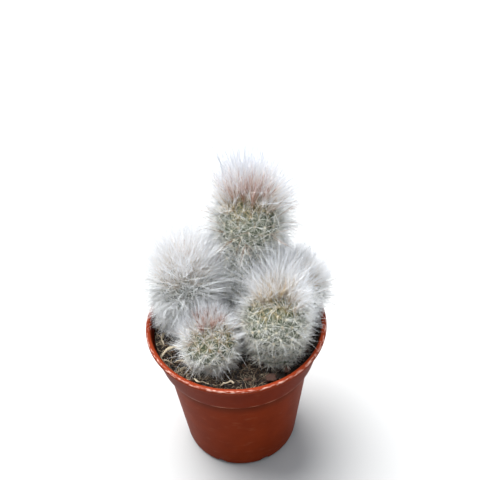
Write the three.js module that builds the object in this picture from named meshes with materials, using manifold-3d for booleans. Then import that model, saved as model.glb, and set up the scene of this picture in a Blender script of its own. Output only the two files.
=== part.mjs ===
// A potted woolly cactus: a tapered nursery pot, its soil, five warty stems of one clump, the white
// wool and the crown spines of each stem, and loose straw and bark on the soil.
// Millimetres, +Z up, origin at the centre of the pot's underside.

import * as THREE from 'three';
import { mergeVertices } from 'three/addons/utils/BufferGeometryUtils.js';
import Module from 'manifold-3d';

const wasm = await Module();
wasm.setup();

const GAP = 0.3; // clearance between touching pieces

// The pot: outer radii and heights of its moulded wall.
const POT = {
  height: 76,
  lipRadius: 42.5,
  lipHeight: 2.2,
  lipWidth: 2,
  lipBevel: 0.5,
  collarTopRadius: 41.3,
  collarFootRadius: 37.5,
  collarFoot: 58,
  bodyTopRadius: 35.1,
  footRadius: 28,
  cornerRadius: 2.4,
  wall: 1.1,
  floor: 1.5,
  segments: 48,
};
const DRAIN_SLOTS = 8;
const DRAIN_SLOT_RADIUS = 2.8;
const DRAIN_HOLES = 4;
const DRAIN_HOLE_RADIUS = 3;
const DRAIN_HOLE_RING = 15;
const DRAIN_CUT_LENGTH = 9; // length of the cylinders that cut the slots and holes

// The soil's top: its level at the wall, how far it rises in the middle and how lumpy it is.
const SOIL_LEVEL = 70;
const SOIL_RISE = 1.4;
const SOIL_LUMP = 0.45;
const SOIL_RINGS = 7;

const STEM_BURIED = 5; // length of each stem below the soil
const WART_HEIGHT = 0.45;
const WOOL_TUFT_HEIGHT = 0.8;
const WOOL_CLEARANCE = 12; // how far round the pot's upper wall the wool is cut away
const WOOL_START = -2; // where a coat starts, along its stem from the soil's level
const WOOL_ROWS = 12;
const WOOL_SIDES = 18;
const HOLLOW_SIDES = 14;
const FUNNEL_SLOPE = 0.14; // how fast the wool opens around the crown spines
const FUNNEL_RADIUS = 4.1;
const FUNNEL_DEPTH = 2; // how far below the tip the funnel starts
const SPLIT_HEIGHT = 16; // height above the soil at which neighbouring coats are measured and split
const SPLIT_BLOCK = 200; // size of the block that cuts a coat

// Each stem: where it leaves the soil, its tip, its radii, and how far its wool stands off.
const STEMS = [
  {
    name: 'left', foot: [-19, 6], tip: [-23, 8, 106], footRadius: 9, radius: 11.4,
    woolSide: 6.8, woolTop: 15, warts: 10, rows: 14,
  },
  {
    name: 'front_left', foot: [-9.5, -15], tip: [-12, -17.5, 90], footRadius: 7.5, radius: 9.2,
    woolSide: 5.6, woolTop: 10, warts: 9, rows: 10,
  },
  {
    name: 'front_right', foot: [14.5, -11], tip: [18, -12, 101], footRadius: 10, radius: 12,
    woolSide: 5.6, woolTop: 13, warts: 11, rows: 13,
  },
  {
    name: 'right', foot: [24.5, 12], tip: [34.5, 11, 95], footRadius: 8, radius: 10,
    woolSide: 6.4, woolTop: 11, warts: 9, rows: 11,
  },
  {
    name: 'tall', foot: [2, 13], tip: [8.5, 15, 135.5], footRadius: 10, radius: 12.5,
    woolSide: 7, woolTop: 24, warts: 12, rows: 22,
  },
];
const WOOL_FOOT = 2.6; // how far the wool stands off at the foot of a stem
const SPINES_PER_CROWN = 13;
const SPINE_SPREAD = 0.24; // radians from the stem's axis
const SPINE_SHOWING = 4; // length of the crown spines past the wool
const SPINE_RADIUS = 0.75;
const SPINE_STEP = 0.12; // share of the wool's height that a shorter spine loses
const SPINE_SINK = 0.2; // how far a spine starts below the tip
const CUSHION_RADIUS = 3.5;
const CUSHION_SQUASH = 0.7;

// Straw curls on the soil: middle, length, the way they point, sideways bow and arch, thickness.
const STRAWS = [
  { at: [-29.5, -14.5], length: 11, heading: 0.15, bow: 2.2, arch: 1.6, radius: 0.65 },
  { at: [-24.5, -22.5], length: 10, heading: 2.4, bow: -1.4, arch: 1.1, radius: 0.5 },
  { at: [-33.8, -5], length: 8, heading: 1.5, bow: 1.2, arch: 0.8, radius: 0.5 },
  { at: [-35, 4.5], length: 6, heading: 1.5, bow: -0.8, arch: 0.9, radius: 0.5 },
  { at: [-16.5, -31.5], length: 8, heading: -0.5, bow: -1.2, arch: 0.9, radius: 0.45 },
  { at: [-5, -34], length: 6, heading: 0.1, bow: 0.8, arch: 0.7, radius: 0.45 },
];
const STRAW_STEPS = 10;
const STRAW_SIDES = 6;
const STRAW_LIFT = 0.5; // clearance between a straw and the soil

// Bark chips on the soil: middle, size, turn.
const CHIPS = [
  { at: [14.5, -32.5], size: [3, 2, 1], turn: 0.4 },
  { at: [22, -28], size: [2.4, 1.7, 0.9], turn: 1.5 },
  { at: [31, -17.5], size: [2.2, 1.8, 0.9], turn: 2.4 },
];

const CHIP_LIFT = 0.8; // height of a chip's lowest corner above the soil
const CHIP_TILT = 0.15;

const UP = new THREE.Vector3(0, 0, 1);

// ---------------------------------------------------------------- solids

function toSolid(geometry) {
  const bare = geometry.clone();
  bare.deleteAttribute('normal');
  bare.deleteAttribute('uv');
  const merged = mergeVertices(bare, 1e-4);
  return new wasm.Manifold(new wasm.Mesh({
    numProp: 3,
    vertProperties: Float32Array.from(merged.attributes.position.array),
    triVerts: Uint32Array.from(merged.index.array),
  }));
}

function toGeometry(solid) {
  const mesh = solid.getMesh();
  const geometry = new THREE.BufferGeometry();
  geometry.setAttribute('position', new THREE.BufferAttribute(mesh.vertProperties, 3));
  geometry.setIndex(new THREE.BufferAttribute(mesh.triVerts, 1));
  geometry.computeVertexNormals();
  return geometry;
}

function largestPiece(solid) {
  const pieces = solid.decompose();
  return pieces.reduce((best, piece) => (piece.volume() > best.volume() ? piece : best));
}

// Turns a profile of (radius, height) points, bottom to top, about the Z axis.
function latheAboutZ(points, segments) {
  return new THREE.LatheGeometry(points, segments).rotateX(Math.PI / 2);
}

// Raises every other vertex of a lathe and lowers the rest, so that the surface is a lattice of warts.
function addWarts(geometry, rings, segments, height) {
  const position = geometry.attributes.position;
  for (let side = 0; side <= segments; side += 1) {
    for (let ring = 2; ring < rings - 1; ring += 1) {
      const index = side * rings + ring;
      const radius = Math.hypot(position.getX(index), position.getY(index));
      const push = (side + ring) % 2 === 0 ? height : -height;
      const scale = radius > 3 ? 1 + push / radius : 1;
      position.setX(index, position.getX(index) * scale);
      position.setY(index, position.getY(index) * scale);
    }
  }
  return geometry;
}

// ---------------------------------------------------------------- pot

// The outer wall from the floor's centre to the top of the lip, set back by a wall thickness.
function wallOutline(setBack, floor) {
  const outline = new THREE.Path();
  const slope = (POT.bodyTopRadius - POT.footRadius) / POT.collarFoot;
  const corner = POT.cornerRadius;
  outline.moveTo(0, floor);
  outline.lineTo(POT.footRadius - setBack - corner, floor);
  outline.quadraticCurveTo(
    POT.footRadius - setBack + slope * floor, floor,
    POT.footRadius - setBack + slope * (floor + corner), floor + corner,
  );
  outline.lineTo(POT.bodyTopRadius - setBack, POT.collarFoot + setBack);
  outline.lineTo(POT.collarFootRadius - setBack, POT.collarFoot + setBack);
  return outline;
}

function makePot() {
  const lipFoot = POT.height - POT.lipHeight;
  const outer = wallOutline(0, 0);
  outer.lineTo(POT.collarTopRadius, lipFoot - POT.lipBevel);
  outer.lineTo(POT.lipRadius - POT.lipBevel, lipFoot);
  outer.lineTo(POT.lipRadius, lipFoot + POT.lipBevel);
  outer.lineTo(POT.lipRadius, POT.height - POT.lipBevel);
  outer.lineTo(POT.lipRadius - POT.lipBevel, POT.height);
  outer.lineTo(POT.lipRadius - POT.lipWidth, POT.height);
  const inner = wallOutline(POT.wall, POT.floor);
  inner.lineTo(collarInside(lipFoot), lipFoot);
  const profile = [...outer.getPoints(4), ...inner.getPoints(4).reverse()];
  let pot = toSolid(latheAboutZ(profile, POT.segments));
  for (let i = 0; i < DRAIN_SLOTS; i += 1) {
    const slot = new THREE.CylinderGeometry(DRAIN_SLOT_RADIUS, DRAIN_SLOT_RADIUS, DRAIN_CUT_LENGTH, 10);
    slot.translate(0, POT.footRadius - 1, 0);
    slot.rotateZ(((i + 0.5) / DRAIN_SLOTS) * Math.PI * 2);
    pot = pot.subtract(toSolid(slot));
  }
  for (let i = 0; i < DRAIN_HOLES; i += 1) {
    const hole = new THREE.CylinderGeometry(DRAIN_HOLE_RADIUS, DRAIN_HOLE_RADIUS, DRAIN_CUT_LENGTH, 12);
    hole.rotateX(Math.PI / 2);
    hole.translate(DRAIN_HOLE_RING, 0, 0);
    hole.rotateZ((i / DRAIN_HOLES) * Math.PI * 2);
    pot = pot.subtract(toSolid(hole));
  }
  return pot;
}

// The inner radius of the collar at a height.
function collarInside(z) {
  const rise = POT.height - POT.lipHeight - POT.collarFoot;
  const slope = (POT.collarTopRadius - POT.collarFootRadius) / rise;
  return POT.collarFootRadius - POT.wall + slope * (z - POT.collarFoot);
}

// The space around the pot's upper wall that the wool keeps clear of.
function potClearance() {
  const below = SOIL_LEVEL - WOOL_CLEARANCE;
  const start = new THREE.Vector2(collarInside(below) - WOOL_CLEARANCE / 2, below);
  const profile = [
    start,
    new THREE.Vector2(POT.lipRadius + WOOL_CLEARANCE, below),
    new THREE.Vector2(POT.lipRadius + WOOL_CLEARANCE, POT.height + GAP),
    new THREE.Vector2(collarInside(POT.height) - 2 * GAP, POT.height + GAP),
    new THREE.Vector2(collarInside(SOIL_LEVEL) - 2 * GAP, SOIL_LEVEL),
    start,
  ];
  return toSolid(latheAboutZ(profile, POT.segments));
}

// ---------------------------------------------------------------- soil

function soilHeight(x, y) {
  const reach = Math.min(1, Math.hypot(x, y) / POT.lipRadius);
  const lumps = Math.sin(x * 0.43 + 1.3) * Math.cos(y * 0.37 - 0.6) + 0.5 * Math.sin(x * 0.9 - y * 0.7);
  return SOIL_LEVEL + SOIL_RISE * (1 - reach * reach) + SOIL_LUMP * lumps;
}

// The soil's whole block, without the stems' sockets, grown by a clearance.
function soilBlock(grow) {
  const outline = wallOutline(POT.wall + GAP - grow, POT.floor + GAP - grow);
  const edge = collarInside(SOIL_LEVEL) - GAP + grow;
  outline.lineTo(edge, SOIL_LEVEL);
  const profile = outline.getPoints(3);
  const wallPoints = profile.length;
  for (let ring = SOIL_RINGS - 1; ring >= 0; ring -= 1) {
    profile.push(new THREE.Vector2((edge * ring) / SOIL_RINGS, SOIL_LEVEL));
  }
  const geometry = latheAboutZ(profile, POT.segments / 2);
  const position = geometry.attributes.position;
  for (let index = 0; index < position.count; index += 1) {
    if (index % profile.length >= wallPoints - 1) {
      position.setZ(index, soilHeight(position.getX(index), position.getY(index)) + grow);
    }
  }
  return toSolid(geometry);
}

// ---------------------------------------------------------------- stems and wool

// Moves a shape made about the Z axis, foot at zero, to where a stem stands and leans.
function placeOnStem(geometry, stem) {
  const foot = new THREE.Vector3(stem.foot[0], stem.foot[1], SOIL_LEVEL);
  const lean = new THREE.Vector3(...stem.tip).sub(foot).normalize();
  geometry.applyQuaternion(new THREE.Quaternion().setFromUnitVectors(UP, lean));
  return geometry.translate(foot.x, foot.y, foot.z);
}

function stemLength(stem) {
  return Math.hypot(stem.tip[0] - stem.foot[0], stem.tip[1] - stem.foot[1], stem.tip[2] - SOIL_LEVEL);
}

// The outline of a green body, grown by a clearance: a barrel that widens from its foot to a dome.
function stemOutline(stem, grow) {
  const shoulder = stemLength(stem) - stem.radius;
  const outline = new THREE.Path();
  outline.moveTo(0, -STEM_BURIED - grow);
  outline.lineTo(stem.footRadius * 0.7 + grow, -STEM_BURIED - grow);
  outline.quadraticCurveTo(stem.footRadius * 0.95 + grow, -STEM_BURIED * 0.6, stem.footRadius + grow, 0);
  outline.bezierCurveTo(
    stem.footRadius + (stem.radius - stem.footRadius) * 0.7 + grow, shoulder * 0.3,
    stem.radius + grow, shoulder * 0.6,
    stem.radius + grow, shoulder,
  );
  outline.absellipse(0, shoulder, stem.radius + grow, stem.radius + grow, 0, Math.PI / 2);
  return outline;
}

function stemBody(stem) {
  const points = stemOutline(stem, 0).getSpacedPoints(stem.rows);
  const geometry = latheAboutZ(points, stem.warts * 2);
  addWarts(geometry, points.length, stem.warts * 2, WART_HEIGHT);
  return toSolid(placeOnStem(geometry, stem));
}

// The smooth hollow that a stem's body fits in: its flats stay clear of the warts.
function stemHollow(stem) {
  const points = stemOutline(stem, WART_HEIGHT + 1.5 * GAP).getSpacedPoints(stem.rows);
  const flats = 1 / Math.cos(Math.PI / HOLLOW_SIDES);
  const geometry = latheAboutZ(points, HOLLOW_SIDES).scale(flats, flats, 1);
  return toSolid(placeOnStem(geometry, stem));
}

// The outside of a stem's wool: close at the foot, full at the side, brush-like over the tip.
function woolOutside(stem, grow) {
  const length = stemLength(stem);
  const shoulder = length - stem.radius;
  const footRadius = stem.footRadius + WOOL_FOOT + grow;
  const sideRadius = stem.radius + stem.woolSide + grow;
  const top = length + stem.woolTop + grow;
  const outline = new THREE.Path();
  outline.moveTo(0, WOOL_START);
  outline.lineTo(footRadius, WOOL_START);
  outline.bezierCurveTo(footRadius + 2, shoulder * 0.2, sideRadius, shoulder * 0.4, sideRadius, shoulder);
  outline.bezierCurveTo(sideRadius, length + stem.woolTop * 0.45, sideRadius * 0.8, top, 0, top);
  const points = outline.getSpacedPoints(WOOL_ROWS);
  const geometry = latheAboutZ(points, WOOL_SIDES);
  addWarts(geometry, points.length, WOOL_SIDES, WOOL_TUFT_HEIGHT);
  return toSolid(placeOnStem(geometry, stem));
}

// The open funnel that the crown spines stand in.
function crownFunnel(stem) {
  const length = stemLength(stem);
  const foot = length - FUNNEL_DEPTH;
  const mouth = length + stem.woolTop + SPINE_SHOWING + FUNNEL_DEPTH;
  const profile = [
    new THREE.Vector2(0, foot),
    new THREE.Vector2(FUNNEL_RADIUS, foot),
    new THREE.Vector2(FUNNEL_RADIUS + FUNNEL_SLOPE * (mouth - foot), mouth),
    new THREE.Vector2(0, mouth),
  ];
  return toSolid(placeOnStem(latheAboutZ(profile, HOLLOW_SIDES), stem));
}

function axisPoint(stem, z) {
  const along = (z - SOIL_LEVEL) / (stem.tip[2] - SOIL_LEVEL);
  const x = stem.foot[0] + (stem.tip[0] - stem.foot[0]) * along;
  const y = stem.foot[1] + (stem.tip[1] - stem.foot[1]) * along;
  return new THREE.Vector3(x, y, z);
}

// A block that fills the far side of the plane midway between two stems' bodies.
function farSide(stem, other, shift) {
  const level = SOIL_LEVEL + SPLIT_HEIGHT;
  const from = axisPoint(stem, level);
  const towards = axisPoint(other, level).sub(from);
  const reach = (towards.length() + stem.radius - other.radius) / 2 + shift;
  towards.normalize();
  const block = new THREE.BoxGeometry(SPLIT_BLOCK, SPLIT_BLOCK, SPLIT_BLOCK);
  block.translate(0, 0, SPLIT_BLOCK / 2);
  block.applyQuaternion(new THREE.Quaternion().setFromUnitVectors(UP, towards));
  const start = from.addScaledVector(towards, reach);
  return toSolid(block.translate(start.x, start.y, start.z));
}

function makeCoats(soilLifted) {
  const clearance = potClearance();
  const claimed = [];
  return STEMS.map((stem, order) => {
    let coat = woolOutside(stem, 0);
    let claim = woolOutside(stem, GAP);
    for (const later of STEMS.slice(order + 1)) {
      coat = coat.subtract(farSide(stem, later, 0));
      claim = claim.subtract(farSide(stem, later, GAP));
    }
    for (const earlier of claimed) {
      coat = coat.subtract(earlier);
    }
    for (const other of STEMS) {
      coat = coat.subtract(stemHollow(other));
    }
    claimed.push(claim);
    coat = coat.subtract(crownFunnel(stem)).subtract(soilLifted).subtract(clearance);
    return largestPiece(coat);
  });
}

// Stiff spines that fan out from a small cushion on the stem's tip.
function makeCrown(stem) {
  const length = stemLength(stem);
  const cushion = new THREE.SphereGeometry(CUSHION_RADIUS, 8, 6);
  cushion.scale(1, 1, CUSHION_SQUASH).translate(0, 0, length);
  let crown = toSolid(placeOnStem(cushion, stem));
  for (let i = 0; i < SPINES_PER_CROWN; i += 1) {
    const around = i * Math.PI * (3 - Math.sqrt(5));
    const tilt = SPINE_SPREAD * Math.sqrt(i / (SPINES_PER_CROWN - 1));
    const spineLength = stem.woolTop * (1 - SPINE_STEP * (i % 3)) + SPINE_SHOWING;
    const spine = new THREE.ConeGeometry(SPINE_RADIUS, spineLength, 4);
    spine.rotateX(Math.PI / 2).translate(0, 0, spineLength / 2);
    spine.rotateY(tilt).rotateZ(around).translate(0, 0, length - SPINE_SINK);
    crown = crown.add(toSolid(placeOnStem(spine, stem)));
  }
  return largestPiece(crown.subtract(stemHollow(stem)));
}

// ---------------------------------------------------------------- loose pieces on the soil

function makeStraw(straw) {
  const points = [];
  const heading = new THREE.Vector2(Math.cos(straw.heading), Math.sin(straw.heading));
  for (let i = 0; i <= 4; i += 1) {
    const along = i / 4 - 0.5;
    const hump = 1 - 4 * along * along;
    const x = straw.at[0] + heading.x * straw.length * along - heading.y * straw.bow * hump;
    const y = straw.at[1] + heading.y * straw.length * along + heading.x * straw.bow * hump;
    const z = soilHeight(x, y) + straw.radius + STRAW_LIFT + straw.arch * hump;
    points.push(new THREE.Vector3(x, y, z));
  }
  const section = new THREE.Shape();
  section.absarc(0, 0, straw.radius, 0, Math.PI * 2);
  const corners = section.getSpacedPoints(STRAW_SIDES).slice(0, -1);
  return new THREE.ExtrudeGeometry(new THREE.Shape(corners), {
    steps: STRAW_STEPS,
    extrudePath: new THREE.CatmullRomCurve3(points),
  });
}

function makeChip(chip) {
  const [x, y] = chip.at;
  const geometry = new THREE.DodecahedronGeometry(1, 0).scale(...chip.size).rotateX(CHIP_TILT);
  return geometry.rotateZ(chip.turn).translate(x, y, soilHeight(x, y) + chip.size[2] + CHIP_LIFT);
}

// ---------------------------------------------------------------- assembly

const cactus = new THREE.Group();

function addPart(name, geometry, color, roughness) {
  const material = new THREE.MeshStandardMaterial({ color, roughness, metalness: 0 });
  const mesh = new THREE.Mesh(geometry, material);
  mesh.name = name;
  cactus.add(mesh);
}

addPart('pot', toGeometry(makePot()), 0xa5482c, 0.45);

let soil = soilBlock(0);
for (const stem of STEMS) {
  soil = soil.subtract(stemHollow(stem));
}
addPart('soil', toGeometry(soil), 0x2c211b, 0.95);

const coats = makeCoats(soilBlock(GAP));
STEMS.forEach((stem, i) => {
  addPart(`stem_${stem.name}`, toGeometry(stemBody(stem)), 0x6f7f5c, 0.6);
  addPart(`wool_${stem.name}`, toGeometry(coats[i]), 0xe6e8ec, 0.9);
  addPart(`crown_spines_${stem.name}`, toGeometry(makeCrown(stem)), 0xb98f7c, 0.55);
});

STRAWS.forEach((straw, i) => addPart(`straw_${i + 1}`, makeStraw(straw), 0xc9b58f, 0.8));
CHIPS.forEach((chip, i) => addPart(`bark_chip_${i + 1}`, makeChip(chip), 0x6b3a24, 0.85));

export default cactus;
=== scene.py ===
import bpy
import numpy as np
from mathutils import Matrix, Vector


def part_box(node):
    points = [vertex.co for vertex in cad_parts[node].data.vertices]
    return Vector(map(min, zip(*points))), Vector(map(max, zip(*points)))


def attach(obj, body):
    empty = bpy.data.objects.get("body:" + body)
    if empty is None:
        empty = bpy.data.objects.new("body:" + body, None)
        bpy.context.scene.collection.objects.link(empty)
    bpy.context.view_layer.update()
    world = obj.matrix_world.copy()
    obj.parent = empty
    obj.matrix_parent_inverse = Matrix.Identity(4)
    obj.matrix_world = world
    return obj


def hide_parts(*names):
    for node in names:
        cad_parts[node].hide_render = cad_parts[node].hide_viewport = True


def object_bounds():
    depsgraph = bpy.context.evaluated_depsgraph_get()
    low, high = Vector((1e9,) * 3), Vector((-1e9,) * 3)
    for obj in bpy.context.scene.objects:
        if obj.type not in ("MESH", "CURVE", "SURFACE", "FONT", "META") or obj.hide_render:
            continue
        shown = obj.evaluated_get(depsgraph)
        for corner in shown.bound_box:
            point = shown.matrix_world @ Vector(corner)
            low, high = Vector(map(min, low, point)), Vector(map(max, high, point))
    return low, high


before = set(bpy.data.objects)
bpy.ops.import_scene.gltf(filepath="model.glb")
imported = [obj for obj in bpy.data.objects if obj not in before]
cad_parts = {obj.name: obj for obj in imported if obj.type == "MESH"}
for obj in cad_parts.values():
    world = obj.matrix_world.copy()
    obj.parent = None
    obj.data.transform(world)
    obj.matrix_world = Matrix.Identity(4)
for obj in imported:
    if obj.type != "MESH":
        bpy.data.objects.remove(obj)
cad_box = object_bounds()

# ---------------------------------------------------------------- Pot
# A small tapered nursery pot in terracotta-coloured plastic, moulded in one piece: thin wall,
# a collar with a step under it for stacking, a narrow lip with painted light and pale flecks on it,
# and drain holes in its floor and slots round its foot. It holds everything else.

MM = 0.001  # in metres; the sizes of pieces below are in millimetres

POT_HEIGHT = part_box("pot")[1][2] / MM
LIP_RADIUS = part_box("pot")[1][0] / MM
LIP_HEIGHT = 2.2
COLLAR_TOP_RADIUS = 41.3
COLLAR_FOOT_RADIUS = 37.5
COLLAR_FOOT = 58.0
BODY_TOP_RADIUS = 35.1
FOOT_RADIUS = 28.0
WALL = 1.1
FLOOR = 1.5
POT_SIDES = 192
POT_STEP = 3.0
LIP_WAVER = 0.1
LIP_WAVE = 9.0
DRAIN_SLOTS = 8
DRAIN_SLOT_RADIUS = 2.8
DRAIN_HOLES = 4
DRAIN_HOLE_RADIUS = 3.0
DRAIN_HOLE_RING = 15.0


def unit(vectors):
    """Vectors made one long."""
    return vectors / np.maximum(np.linalg.norm(vectors, axis=-1, keepdims=True), 1e-9)


def rounded(corners, steps=5):
    """An outline of (radius, height, rounding) corners. Each corner is a parabola that leaves
    the straight edges at the rounding distance on either side of it."""
    outline = [corners[0][:2]]
    for before, corner, after in zip(corners, corners[1:], corners[2:]):
        here = np.array(corner[:2])
        start = here + unit(np.array(before[:2]) - here) * corner[2]
        end = here + unit(np.array(after[:2]) - here) * corner[2]
        for t in np.linspace(0, 1, steps if corner[2] else 1):
            outline.append((1 - t) ** 2 * start + 2 * t * (1 - t) * here + t**2 * end)
    outline.append(corners[-1][:2])
    return np.array([np.asarray(point, float) for point in outline])


def subdivide(outline, step):
    """The same outline with extra points, so that no stretch is longer than step."""
    lengths = np.linalg.norm(np.diff(outline, axis=0), axis=1)
    along = np.concatenate([[0], np.cumsum(lengths)])
    extra = [
        np.linspace(a, b, int(np.ceil((b - a) / step)) + 1)[:-1]
        for a, b in zip(along[:-1], along[1:])
        if b > a
    ]
    at = np.concatenate(extra + [along[-1:]])
    return np.stack([np.interp(at, along, outline[:, k]) for k in (0, 1)], -1)


def around(sides):
    """Evenly spaced angles of a whole turn, as a column."""
    return np.linspace(0, 2 * np.pi, sides, endpoint=False)[:, None]


def turned(outline, sides):
    """Points of a turned shape: column i of the grid is the outline turned by i / sides of a turn."""
    radius, height = outline.T
    angle = around(sides)
    return np.stack([radius * np.cos(angle), radius * np.sin(angle), height + 0 * angle], -1)


def rod(radius, half_length, sides):
    """A cylinder about the vertical axis, the cutter for a drain."""
    ends = [(0, -half_length), (radius, -half_length), (radius, half_length), (0, half_length)]
    return turned(np.array(ends), sides)


def link_object(name, data):
    """A new object in the scene that holds a mesh, a light or a camera."""
    piece = bpy.data.objects.new(name, data)
    bpy.context.scene.collection.objects.link(piece)
    return piece


def surface(name, grid):
    """A closed object from a grid of points in millimetres that wraps round in its first
    direction. Points that share a place, as at a pole, become one."""
    sides, rows = grid.shape[:2]
    index = np.arange(sides * rows).reshape(sides, rows)
    turn = np.roll(index, -1, 0)
    quads = np.stack([index[:, :-1], turn[:, :-1], turn[:, 1:], index[:, 1:]], -1)
    points, place = np.unique(np.round(grid.reshape(-1, 3), 5), axis=0, return_inverse=True)
    faces = place.reshape(-1)[quads.reshape(-1, 4)]
    faces = [list(dict.fromkeys(face)) for face in faces.tolist()]
    mesh = bpy.data.meshes.new(name)
    mesh.from_pydata((points * MM).tolist(), [], [face for face in faces if len(face) > 2])
    mesh.shade_smooth()
    return link_object(name, mesh)


def ripple(points, size, seed, waves=14):
    """Smooth noise between about -1 and 1: a sum of plane waves in random directions, each
    from 0.6 to 1.6 times as long as size."""
    rng = np.random.default_rng(seed)
    aim = unit(rng.normal(size=(waves, 3)))
    aim *= 2 * np.pi / (size * rng.uniform(0.6, 1.6, (waves, 1)))
    phase = rng.uniform(0, 2 * np.pi, waves)
    return np.sin(points @ aim.T + phase).sum(-1) / np.sqrt(waves)


def collar_inside(height):
    """Inner radius of the collar at a height."""
    rise = POT_HEIGHT - LIP_HEIGHT - COLLAR_FOOT
    slope = (COLLAR_TOP_RADIUS - COLLAR_FOOT_RADIUS) / rise
    return COLLAR_FOOT_RADIUS - WALL + slope * (height - COLLAR_FOOT)


lip_foot = POT_HEIGHT - LIP_HEIGHT
pot_outline = rounded(
    [
        (0.0, 0.0, 0),
        (FOOT_RADIUS, 0.0, 2.6),
        (BODY_TOP_RADIUS, COLLAR_FOOT, 0.7),
        (COLLAR_FOOT_RADIUS, COLLAR_FOOT, 0.9),
        (COLLAR_TOP_RADIUS, lip_foot - 0.4, 0.5),
        (LIP_RADIUS, lip_foot + 0.1, 0.5),
        (LIP_RADIUS, POT_HEIGHT, 0.9),
        (collar_inside(lip_foot) + 0.1, POT_HEIGHT, 0.9),
        (collar_inside(lip_foot - 2), lip_foot - 2, 0.5),
        (COLLAR_FOOT_RADIUS - WALL, COLLAR_FOOT + WALL, 0.9),
        (BODY_TOP_RADIUS - WALL, COLLAR_FOOT + WALL, 0.7),
        (FOOT_RADIUS - WALL, FLOOR, 2.0),
        (0.0, FLOOR, 0),
    ]
)
pot_grid = turned(subdivide(pot_outline, POT_STEP), POT_SIDES)
lip_share = np.clip((pot_grid[..., 2] - lip_foot) / LIP_HEIGHT, 0, 1)
pot_grid[..., 2] -= LIP_WAVER * lip_share * (1 + ripple(pot_grid, LIP_WAVE, 4))
pot = surface("nursery_pot", pot_grid)

slot = rod(DRAIN_SLOT_RADIUS, 5, 24)[..., [2, 0, 1]] + (FOOT_RADIUS - 1, 0, 0)
hole = rod(DRAIN_HOLE_RADIUS, 4, 32) + (DRAIN_HOLE_RING, 0, 0)
drains = [(slot, (i + 0.5) / DRAIN_SLOTS + 0.25) for i in range(DRAIN_SLOTS)]
drains += [(hole, i / DRAIN_HOLES) for i in range(DRAIN_HOLES)]
cutters = []
for shape, turns in drains:
    turn = Matrix.Rotation(2 * np.pi * turns, 3, "Z")
    cutter = surface("drain_cutter", shape @ np.array(turn).T)
    cut = pot.modifiers.new(cutter.name, "BOOLEAN")
    cut.operation = "DIFFERENCE"
    cut.object = cutter
    cutters.append(cutter)
bpy.context.view_layer.update()
drained = pot.evaluated_get(bpy.context.evaluated_depsgraph_get())
cut_mesh = bpy.data.meshes.new_from_object(drained)
pot.modifiers.clear()
pot.data = cut_mesh
for cutter in cutters:
    bpy.data.objects.remove(cutter)


def connect(tree, node, inputs):
    """Sets each of a node's inputs to its value, or links it to the socket it is given."""
    for key, value in inputs.items():
        if isinstance(value, bpy.types.NodeSocket):
            tree.links.new(value, node.inputs[key])
        elif node.inputs[key].type == "RGBA":
            node.inputs[key].default_value = (*value, 1)
        else:
            node.inputs[key].default_value = value


def add(tree, kind, inputs=None, **settings):
    """A new shader node of a kind, with its settings and its inputs."""
    node = tree.nodes.new(f"ShaderNode{kind}")
    for key, value in settings.items():
        setattr(node, key, value)
    connect(tree, node, inputs or {})
    return node


def ramp(tree, factor, *stops):
    """A colour ramp over (position, (red, green, blue)) stops."""
    node = add(tree, "ValToRGB", {"Fac": factor})
    elements = node.color_ramp.elements
    while len(elements) < len(stops):
        elements.new(0.5)
    for element, (position, colour) in zip(elements, stops):
        element.position = position
        element.color = (*colour, 1)
    return node.outputs["Color"]


def mix(tree, factor, first, second, blend="MIX"):
    """Two colours mixed by a factor."""
    inputs = {0: factor, 6: first, 7: second}
    return add(tree, "Mix", inputs, data_type="RGBA", blend_type=blend).outputs[2]


def fade(tree, value, start, end, low=0.0, high=1.0):
    """A number that goes from low to high while the value goes from start to end."""
    limits = {"Value": value, 1: start, 2: end, 3: low, 4: high}
    return add(tree, "MapRange", limits).outputs[0]


def between(tree, distance, start, end, low=0.0, high=1.0):
    """The same fade, where start and end are in millimetres."""
    return fade(tree, distance, start * MM, end * MM, low, high)


def times(tree, first, second):
    """Two numbers multiplied."""
    return add(tree, "Math", {0: first, 1: second}, operation="MULTIPLY").outputs[0]


def noise(tree, place, features, detail, roughness=0.5):
    """Cloudy noise from 0 to 1, with so many features to the metre."""
    inputs = {"Vector": place, "Scale": features, "Detail": detail, "Roughness": roughness}
    return add(tree, "TexNoise", inputs).outputs["Fac"]


def finish(name):
    """A new material: its node tree and its Principled shader."""
    material = bpy.data.materials.new(name)
    material.use_nodes = True
    return material, material.node_tree, material.node_tree.nodes["Principled BSDF"]


def new_group(name, inputs, outputs):
    """An empty shader node group: its numbers with their defaults, and its outputs' kinds."""
    group = bpy.data.node_groups.new(name, "ShaderNodeTree")
    for label, default in inputs.items():
        socket = group.interface.new_socket(label, in_out="INPUT", socket_type="NodeSocketFloat")
        socket.default_value = default
    for label, kind in outputs.items():
        group.interface.new_socket(label, in_out="OUTPUT", socket_type=f"NodeSocket{kind}")
    return group, group.nodes.new("NodeGroupInput"), group.nodes.new("NodeGroupOutput")


# Grain: mottling and a fine bump for moulded, earthy and fleshy surfaces, on object coordinates.
grain, grain_in, grain_out = new_group(
    "Grain",
    {"Size": 1000.0, "Bump": 0.1, "Depth": 0.0001},
    {"Mottle": "Float", "Speck": "Float", "Normal": "Vector"},
)
place = add(grain, "TexCoord").outputs["Object"]
size = grain_in.outputs["Size"]
fine = noise(grain, place, size, 4.0, 0.6)
lift = {"Strength": grain_in.outputs["Bump"], "Distance": grain_in.outputs["Depth"], "Height": fine}
bump = add(grain, "Bump", lift).outputs["Normal"]
mottle = noise(grain, place, times(grain, size, 0.12), 3.0)
connect(grain, grain_out, {"Mottle": mottle, "Speck": fine, "Normal": bump})


def add_grain(tree, features, bump_strength, depth):
    """The Grain group in a material: features to the metre, strength and depth of its bump."""
    inputs = {"Size": features, "Bump": bump_strength, "Depth": depth}
    return add(tree, "Group", inputs, node_tree=grain)


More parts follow.
